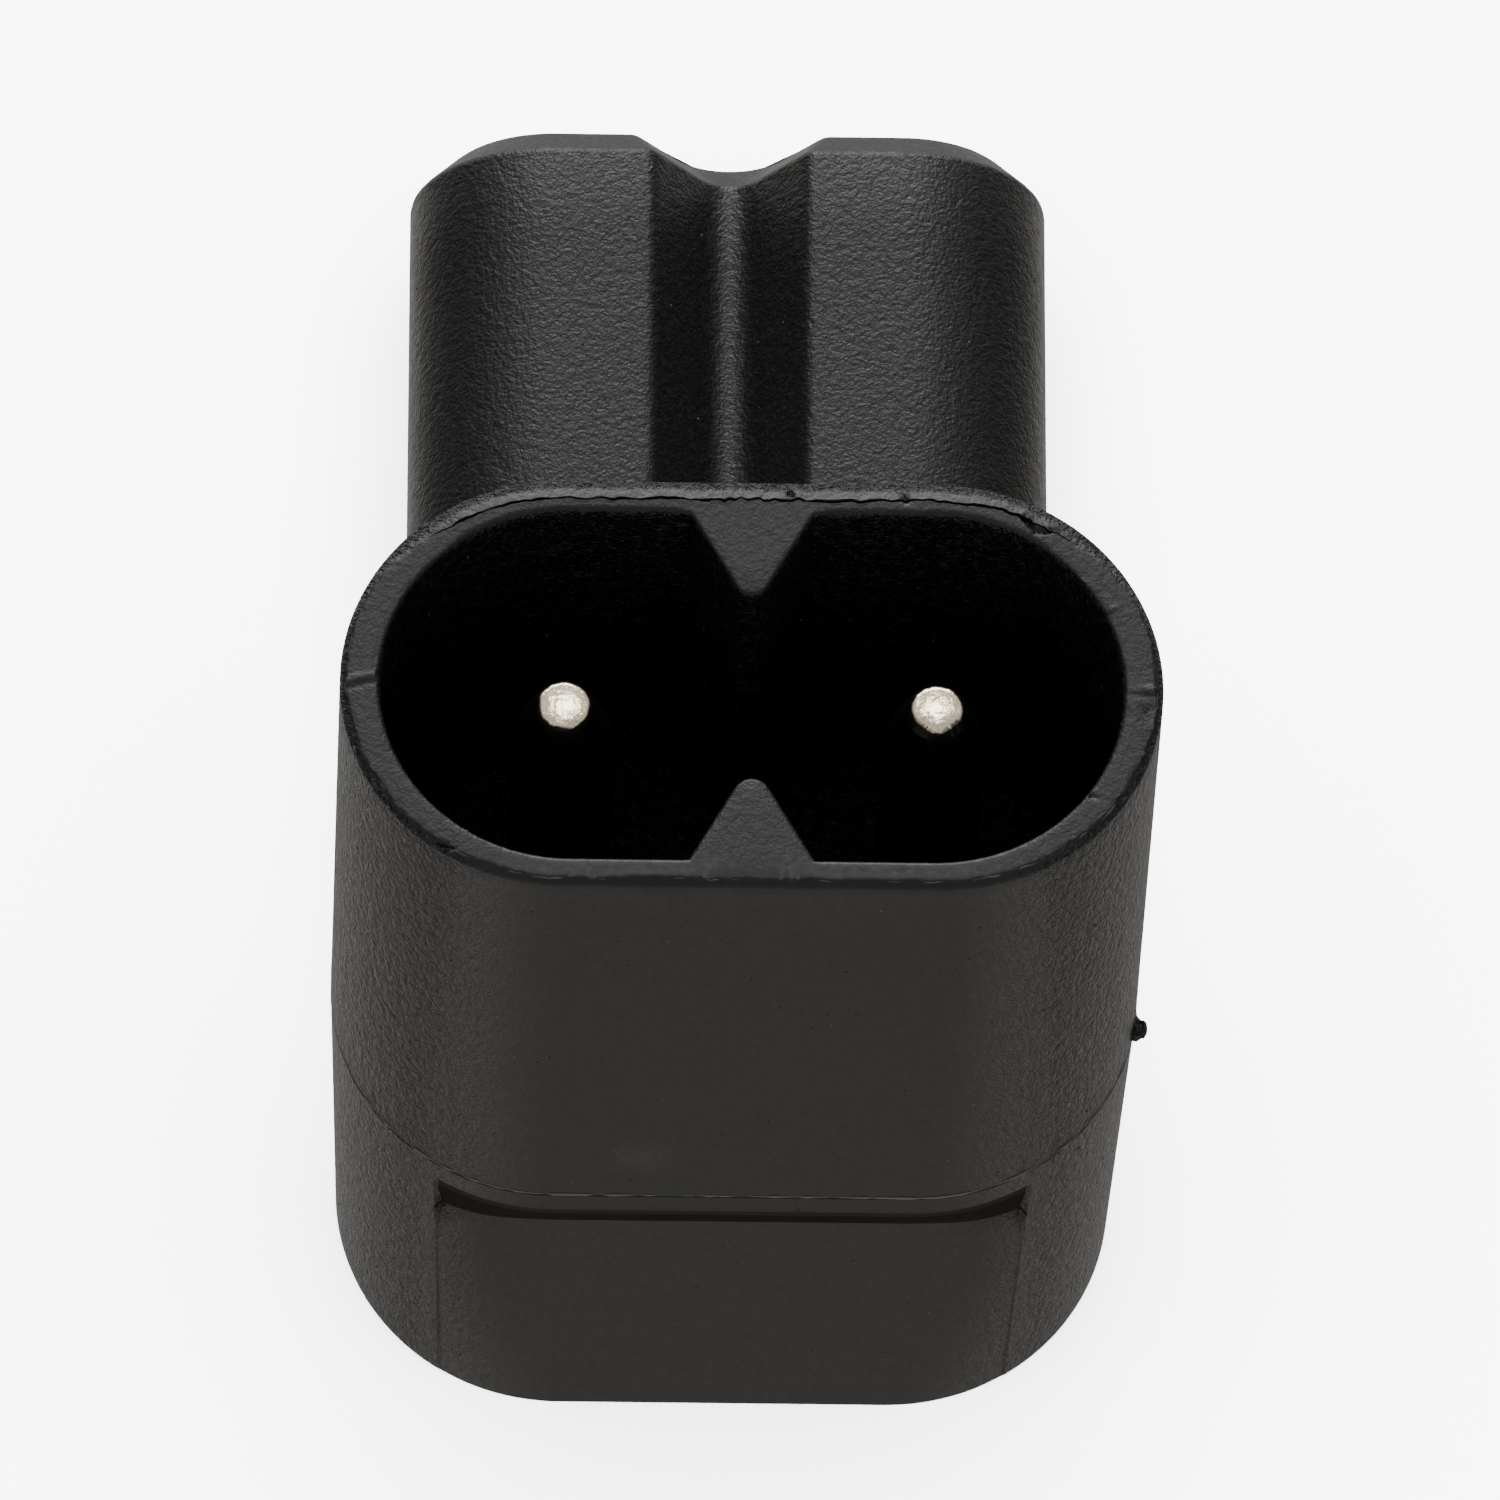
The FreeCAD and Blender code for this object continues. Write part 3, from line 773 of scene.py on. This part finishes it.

# %% [markdown]
# Both mouldings have the same plastic: satin black, a little warm, with a fine leathery grain and paler worn
# specks. The grain is strong behind and round the sides, weak on the plug and the level rim, and nearly polished
# away on the middle of the near wall. Bump is right for a grain of a tenth of a millimetre, which geometry can't
# hold over the whole object. At a grazing angle any gloss would light up the lip over the panel, so the lip has
# two matte materials of its own, without reflection, which are painted shade for the dark band under the seam;
# the darker one below paints the deepest shade, down at the ledge.

# %% Black moulded plastic
UPRIGHT_GRAIN = (1, 1, 0.55)
PORES_SHARE = 0.55
FRONT_FADE_X, FRONT_CALMED = (5.0, 9.3), 0.92
FRONT_FADE_Y = -4.9, -4.0
RIM_FADE_BELOW_TOP, RIM_GRAIN = (0.14, 0.06), 0.15
PLUG_FADE_Y, PLUG_GRAIN = (5.2, 6.0), 0.34
WORN_SPECKS = 0.50, 0.68
DARKER_CLOUDS, PALER_CLOUDS = 0.8, 1.25
GLOSSIER, DULLER = 0.12, 0.14
SMUDGE_RADIUS, SMUDGE_STRENGTH = 1.2, 1.3


def moulded_plastic(name, colour, roughness, grain_depth, smooth_front, specular=0.5, scuffed=0.0,
                    smudge=None):
    """Plastic with a leathery grain, which fades on the middle of the near wall where smooth_front is 1. Scuffed
    is how much paler its worn specks are, and smudge is the middle of a rubbed spot, in millimetres."""
    def build(kit):
        in_mm = kit.object_mm()
        upright = kit.scaled(in_mm, UPRIGHT_GRAIN)
        leather = kit.noise(upright, Scale=5.4, Detail=2.4, Roughness=0.60, Distortion=0.45)
        scuffs = kit.noise(upright, Scale=7.0, Detail=2.0)
        pores = kit.noise(in_mm, Scale=12.0, Detail=1.0, Roughness=0.5)
        cloud = kit.noise(in_mm, Scale=0.35, Detail=2.0)

        x, y, z = kit.axes(in_mm)
        to_sides = kit.step(kit.maths("ABSOLUTE", x), *FRONT_FADE_X, 1 - FRONT_CALMED * smooth_front, 1)
        elsewhere = kit.maths("MAXIMUM", to_sides, kit.step(y, *FRONT_FADE_Y))
        on_rim = kit.step(z, *(RIM_Z - below for below in RIM_FADE_BELOW_TOP), 1, RIM_GRAIN)
        calmer = kit.maths("MULTIPLY", kit.step(y, *PLUG_FADE_Y, 1, PLUG_GRAIN), on_rim)
        strength = kit.maths("MULTIPLY", elsewhere, calmer)
        bump = kit.add("ShaderNodeBump", Distance=grain_depth * MM, Strength=strength,
                       Height=kit.maths("MULTIPLY_ADD", pores, PORES_SHARE, leather))

        tint = kit.mix(cloud, [c * DARKER_CLOUDS for c in colour], [c * PALER_CLOUDS for c in colour])
        worn = kit.maths("MULTIPLY", kit.step(scuffs, *WORN_SPECKS), strength)
        if smudge:
            rubbed = kit.step(kit.vector_maths("DISTANCE", in_mm, smudge), 0, SMUDGE_RADIUS, SMUDGE_STRENGTH, 0)
            worn = kit.maths("MULTIPLY_ADD", rubbed, pores, worn)
        return kit.add("ShaderNodeBsdfPrincipled", Specular_IOR_Level=specular, Normal=bump.outputs[0],
                       Base_Color=kit.mix(worn, tint, [c + scuffed for c in colour]),
                       Roughness=kit.span(leather, roughness - GLOSSIER, roughness + DULLER))

    return shader_material(name, build)


BLACK = (0.0070, 0.0067, 0.0062)
SCUFFED = 0.028
shroud_plastic = moulded_plastic("shroud plastic", BLACK, 0.42, 0.200, 1.0, scuffed=SCUFFED,
                                 smudge=(-2.2, -5.3, SEAM_Z + 2.2))
housing_plastic = moulded_plastic("housing plastic", BLACK, 0.42, 0.130, 1.0, scuffed=SCUFFED)
# Painted shade: the lip's two copies of the plastic, matte and without reflection, darken the band under the seam,
# the lower one more.
lip_painted_shade = moulded_plastic("lip painted shade", (0.043, 0.041, 0.038), 0.6, 0.040, 1.0, specular=0.0)
lip_edge_painted_shade = moulded_plastic("lip edge painted shade", (0.027, 0.026, 0.024), 0.6, 0.040, 1.0, specular=0.0)
core_plastic = moulded_plastic("core plastic", (0.045, 0.045, 0.045), 0.5, 0.006, 0.0)


def dress(piece, *materials):
    """Gives a piece its materials in place of those that it has."""
    piece.data.materials.clear()
    for material in materials:
        piece.data.materials.append(material)


dress(front, shroud_plastic)
dress(back, housing_plastic, lip_painted_shade, lip_edge_painted_shade)
dress(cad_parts["plug_core"], core_plastic)
# Painted shade on the lip: its upper faces get the lighter shade material, its faces down to the ledge the darker
# one.
for face in back.data.polygons:
    x, y, z = face.center / MM
    if y < 0 and abs(x) < PANEL_HALF_WIDTH and LEDGE_Z < z < LIP_TOP_Z - LIP_ONSET / 3:
        face.material_index = 1 if z > LIP_TOP_Z - LIP_ONSET else 2
print(f"plastic on both mouldings and on the core, {len(back.data.materials)} kinds on the back one")

# %% [markdown]
# The metal parts. The pins are nickel with bright cut and tumbled ends; their shanks are near-black, painted shade
# for the deep socket, so the material changes with height and distance from each pin's axis. The sleeves and strips
# hidden inside are plain brass. Small stains and fine scratches keep every metal from looking like one flat colour.

# %% Metals
SCRATCH_DEPTH = 0.010
RAGGED_BORDER = 0.16
END_BORDER, END_DEPTHS = (0.11, 0.05), (0.10, 0.05)


def streaked_metal(name, stretch, share_of, colours, roughness):
    """Metal with fine scratches, stretched along the axes."""
    def build(kit):
        in_mm = kit.object_mm()
        scratches = kit.noise(kit.scaled(in_mm, stretch), Scale=7.0, Detail=2.0)
        share = share_of(kit, in_mm, kit.noise(in_mm, Scale=3.0, Detail=3.0))
        bump = kit.add("ShaderNodeBump", Distance=SCRATCH_DEPTH * MM, Height=scratches)
        return kit.add("ShaderNodeBsdfPrincipled", Metallic=1.0, Normal=bump.outputs[0],
                       Base_Color=kit.mix(share, *colours), Roughness=kit.span(share, *roughness))

    return shader_material(name, build)


def stained(kit, in_mm, stain):
    """The stains as they are."""
    return stain


def on_cut_end(kit, in_mm, stain):
    """1 on the pins' cut ends and 0 on their sides, with a ragged border that follows the stains."""
    x, y, z = kit.axes(in_mm)
    from_pole = kit.maths("SUBTRACT", kit.maths("ABSOLUTE", x), POLE_X)
    radius = kit.vector_maths("LENGTH", kit.add("ShaderNodeCombineXYZ", from_pole, y).outputs[0])
    ragged = kit.maths("MULTIPLY_ADD", stain, RAGGED_BORDER, radius)
    on_end = kit.step(ragged, *(PIN_END_RADIUS + wider for wider in END_BORDER))
    near_top = kit.step(z, *(PIN_END_Z - below for below in END_DEPTHS))
    return kit.maths("MULTIPLY", on_end, near_top)


# The first colour, near-black on the shanks, is painted shade for the deep socket; the second is the bright nickel
# of the cut ends.
nickel = streaked_metal("nickel", (1, 1, 0.3), on_cut_end, colours=((0.035, 0.030, 0.026), (1.00, 0.87, 0.64)),
                        roughness=(0.50, 0.20))
brass = streaked_metal("brass", (1, 1, 1), stained, colours=((0.60, 0.44, 0.22), (0.80, 0.62, 0.34)),
                       roughness=(0.30, 0.48))
for node in ("contact_left", "contact_right", "strap_left", "strap_right"):
    dress(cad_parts[node], brass)
print("brass inside the plug")

# %% [markdown]
# The pins are turned, but their ends were cut off and tumbled, so no end is quite round. Each has two or three
# flats, nipped off where the photograph shows them, and a slightly uneven edge. The flats fade out a little below
# the end.

# %% Pins
PIN_SIDES = 96
NIP_DEPTHS = 0.2, 0.07
PIN_UNEVENNESS = 0.02
PIN_NIPS = {"left": ((-62, 0.90), (-125, 0.92), (175, 0.95)), "right": ((-128, 0.78), (-50, 0.80))}

shank_top = PIN_END_Z - PIN_NOSE
profile = [(pin_low[2], PIN_ROOT_RADIUS), (SOCKET_FLOOR_Z, PIN_ROOT_RADIUS), (SOCKET_FLOOR_Z, PIN_RADIUS),
           (shank_top - 0.3, PIN_RADIUS), (shank_top, PIN_RADIUS - 0.02), (shank_top + 0.3, PIN_RADIUS - 0.10),
           (PIN_END_Z - 0.45, 0.80), (PIN_END_Z - 0.2, 0.70), (PIN_END_Z - 0.07, 0.645),
           (PIN_END_Z - 0.02, PIN_END_RADIUS + 0.02), (PIN_END_Z, PIN_END_RADIUS - 0.06)]
around = np.linspace(0, 2 * math.pi, PIN_SIDES, endpoint=False)


def cut_pin(name, x, nips, seed):
    """Turned pin whose end is nipped flat on some sides, each given as a direction in degrees and how far from the
    axis the flat lies, as a share of the end's radius."""
    share = np.ones(PIN_SIDES)
    for towards_nip, distance in nips:
        facing_nip = np.cos(around - math.radians(towards_nip))
        share = np.minimum(share, distance / np.maximum(facing_nip, 0.2))
    share *= 1 + PIN_UNEVENNESS * np.random.default_rng(seed).uniform(-1, 1, PIN_SIDES)
    rings = []
    for z, radius in profile:
        nipped = rise_between(z, *(PIN_END_Z - below for below in NIP_DEPTHS))
        radius = radius * (1 + nipped * (share - 1))
        rings.append(level(np.c_[x + radius * np.cos(around), radius * np.sin(around)], z))
    return closed_stack(name, rings, (x, 0, profile[0][0]), (x, 0, profile[-1][0]))


pins = {}
for name, x in (("left", -POLE_X), ("right", POLE_X)):
    pins[name] = cut_pin("cut_pin_" + name, x, PIN_NIPS[name], seed=2)
    dress(pins[name], nickel)
print(f"{len(pins)} nickel pins, their ends {2 * PIN_END_RADIUS:.2f} mm wide")

# %% [markdown]
# Real mouldings are never clean. Two Geometry Nodes tools add what is left on them: a ragged bead of flash that
# follows a parting line, and small lumps scattered over a surface. Each tool is a node group with named inputs,
# runs once on a source mesh, and leaves a plain mesh behind.

# %% Geometry Nodes tools
CRUMB_LEAST, CRUMB_MOST = (0.35, 0.35, 0.15), (1.2, 1.2, 0.7)
BEAD_STEP, BEAD_GRAIN = 0.06, 2.2
BEAD_SIDES, BEAD_LEAST, BEAD_RISE = 7, 0.10, 0.20


def run_tool(name, mesh, inputs, build):
    """Runs a node group once on a mesh, and returns an object that holds the plain result, kept inside the CAD
    model's box. The inputs are given by name as (socket type, value), and build makes the geometry from a kit and
    those inputs."""
    group = bpy.data.node_groups.new(name, "GeometryNodeTree")
    new_socket = group.interface.new_socket
    new_socket(name="Geometry", in_out="INPUT", socket_type="NodeSocketGeometry")
    values = {}
    for label, (kind, value) in inputs.items():
        socket = new_socket(name=label, in_out="INPUT", socket_type="NodeSocket" + kind)
        values[socket.identifier] = value
    new_socket(name="Geometry", in_out="OUTPUT", socket_type="NodeSocketGeometry")
    kit = NodeKit(group)
    given = kit.add("NodeGroupInput").outputs
    real = kit.add("GeometryNodeRealizeInstances", build(kit, given))
    painted = kit.add("GeometryNodeSetMaterial", Geometry=real.outputs[0], Material=given["Material"])
    kit.add("NodeGroupOutput", painted.outputs[0])

    piece = add_object(name, mesh)
    modifier = piece.modifiers.new(name, "NODES")
    modifier.node_group = group
    for identifier, value in values.items():
        modifier[identifier] = value
    graph = bpy.context.evaluated_depsgraph_get()
    result = bpy.data.meshes.new_from_object(piece.evaluated_get(graph))
    piece.modifiers.clear()
    piece.data = result
    for vertex in result.vertices:
        vertex.co = Vector(map(min, map(max, vertex.co, cad_box[0]), cad_box[1]))
    result.shade_smooth()
    print(f"{name}: {len(result.polygons)} faces")
    return piece


def flash_bead(name, path, thickness, gap, seed, material):
    """Ragged bead along a closed path of points in millimetres. A larger gap, near 0.5, leaves less of it."""
    def build(kit, given):
        curve = kit.add("GeometryNodeMeshToCurve", Mesh=given["Geometry"]).outputs[0]
        even = kit.add("GeometryNodeResampleCurve", mode="LENGTH", Curve=curve, Length=given["Step"])
        noise = kit.noise(kit.add("GeometryNodeInputPosition").outputs[0], noise_dimensions="4D", W=given["Seed"],
                          Scale=given["Grain"], Detail=1.5)
        full = kit.maths("ADD", given["Gap"], BEAD_RISE)
        section = kit.add("GeometryNodeCurvePrimitiveCircle", Resolution=BEAD_SIDES, Radius=given["Thickness"])
        return kit.add("GeometryNodeCurveToMesh", Curve=even.outputs[0], Profile_Curve=section.outputs["Curve"],
                       Scale=kit.span(noise, BEAD_LEAST, 1, given["Gap"], full)).outputs[0]

    count = len(path)
    line = bpy.data.meshes.new(name)
    line.from_pydata((path * MM).tolist(), [(i, (i + 1) % count) for i in range(count)], [])
    return run_tool(name, line, {
        "Thickness": ("Float", thickness * MM), "Step": ("Float", BEAD_STEP * MM),
        "Grain": ("Float", BEAD_GRAIN / MM), "Gap": ("Float", gap), "Seed": ("Float", float(seed)),
        "Material": ("Material", material)}, build)


def scatter(name, surface, per_mm2, size, seed, material):
    """Small flattened lumps scattered over a surface."""
    def build(kit, given):
        points = kit.add("GeometryNodeDistributePointsOnFaces", Mesh=given["Geometry"], Density=given["Density"],
                         Seed=given["Seed"])
        lump = kit.add("GeometryNodeMeshIcoSphere", Subdivisions=1, Radius=given["Size"])
        chance = kit.add("FunctionNodeRandomValue", data_type="FLOAT_VECTOR", Min=CRUMB_LEAST, Max=CRUMB_MOST,
                         Seed=given["Seed"])
        return kit.add("GeometryNodeInstanceOnPoints", Points=points.outputs["Points"],
                       Instance=lump.outputs["Mesh"], Rotation=points.outputs["Rotation"],
                       Scale=chance.outputs["Value"]).outputs[0]

    return run_tool(name, surface.copy(), {
        "Density": ("Float", per_mm2 / MM ** 2), "Size": ("Float", size * MM), "Seed": ("Int", seed),
        "Material": ("Material", material)}, build)


print(f"bead of {BEAD_SIDES} sides and scattered lumps")

# %% [markdown]
# The bead runs where melt was squeezed out: dark along the crack of the rim, and paler along the seam. Crumbs of
# the mouldings' own plastic and a few specks of pale dust lie on both mouldings.

# %% Flash, crumbs and dust
stressed_plastic = moulded_plastic("stressed plastic", (0.060, 0.056, 0.050), 0.5, 0.010, 0.0)
parting_line = rim_ring(outer_lip_inset, outer_lip_z - 0.008)
parting_line[:, 2] += mark_rim(parting_line)
rim_flash = flash_bead("rim_flash", parting_line, 0.028, 0.50, 3, stressed_plastic)

seam_path = level(outline(SEAM_Z + SEAM_EDGE), SEAM_Z + SEAM_EDGE + 0.03)
pale_plastic = moulded_plastic("pale plastic", (0.19, 0.18, 0.155), 0.5, 0.010, 0.0)
seam_flash = flash_bead("seam_flash", seam_path, 0.042, 0.40, 9, pale_plastic)

dust_material = moulded_plastic("dust", (0.20, 0.19, 0.18), 0.8, 0.004, 0.0)
front_crumbs = scatter("front_crumbs", front.data, 0.25, 0.035, 7, shroud_plastic)
back_crumbs = scatter("back_crumbs", back.data, 0.22, 0.035, 8, housing_plastic)
front_dust = scatter("front_dust", front.data, 0.09, 0.034, 11, dust_material)
back_dust = scatter("back_dust", back.data, 0.05, 0.034, 12, dust_material)

# %% [markdown]
# Every piece rides on the part's one body. The modelled mouldings and pins stand for their CAD solids.

# %% Join the pieces to the frame
for piece, node, slot in (
        (front, "socket_shroud", "shroud_plastic"), (back, "rear_housing", "housing_plastic"),
        (pins["left"], "pin_left", "pin_metal"), (pins["right"], "pin_right", "pin_metal"),
        (rim_flash, None, "shroud_plastic"), (seam_flash, None, "shroud_plastic"),
        (front_crumbs, None, "shroud_plastic"), (back_crumbs, None, "housing_plastic"),
        (front_dust, None, "shroud_plastic"), (back_dust, None, "housing_plastic")):
    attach(piece, "root")
    if node:
        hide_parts(node)
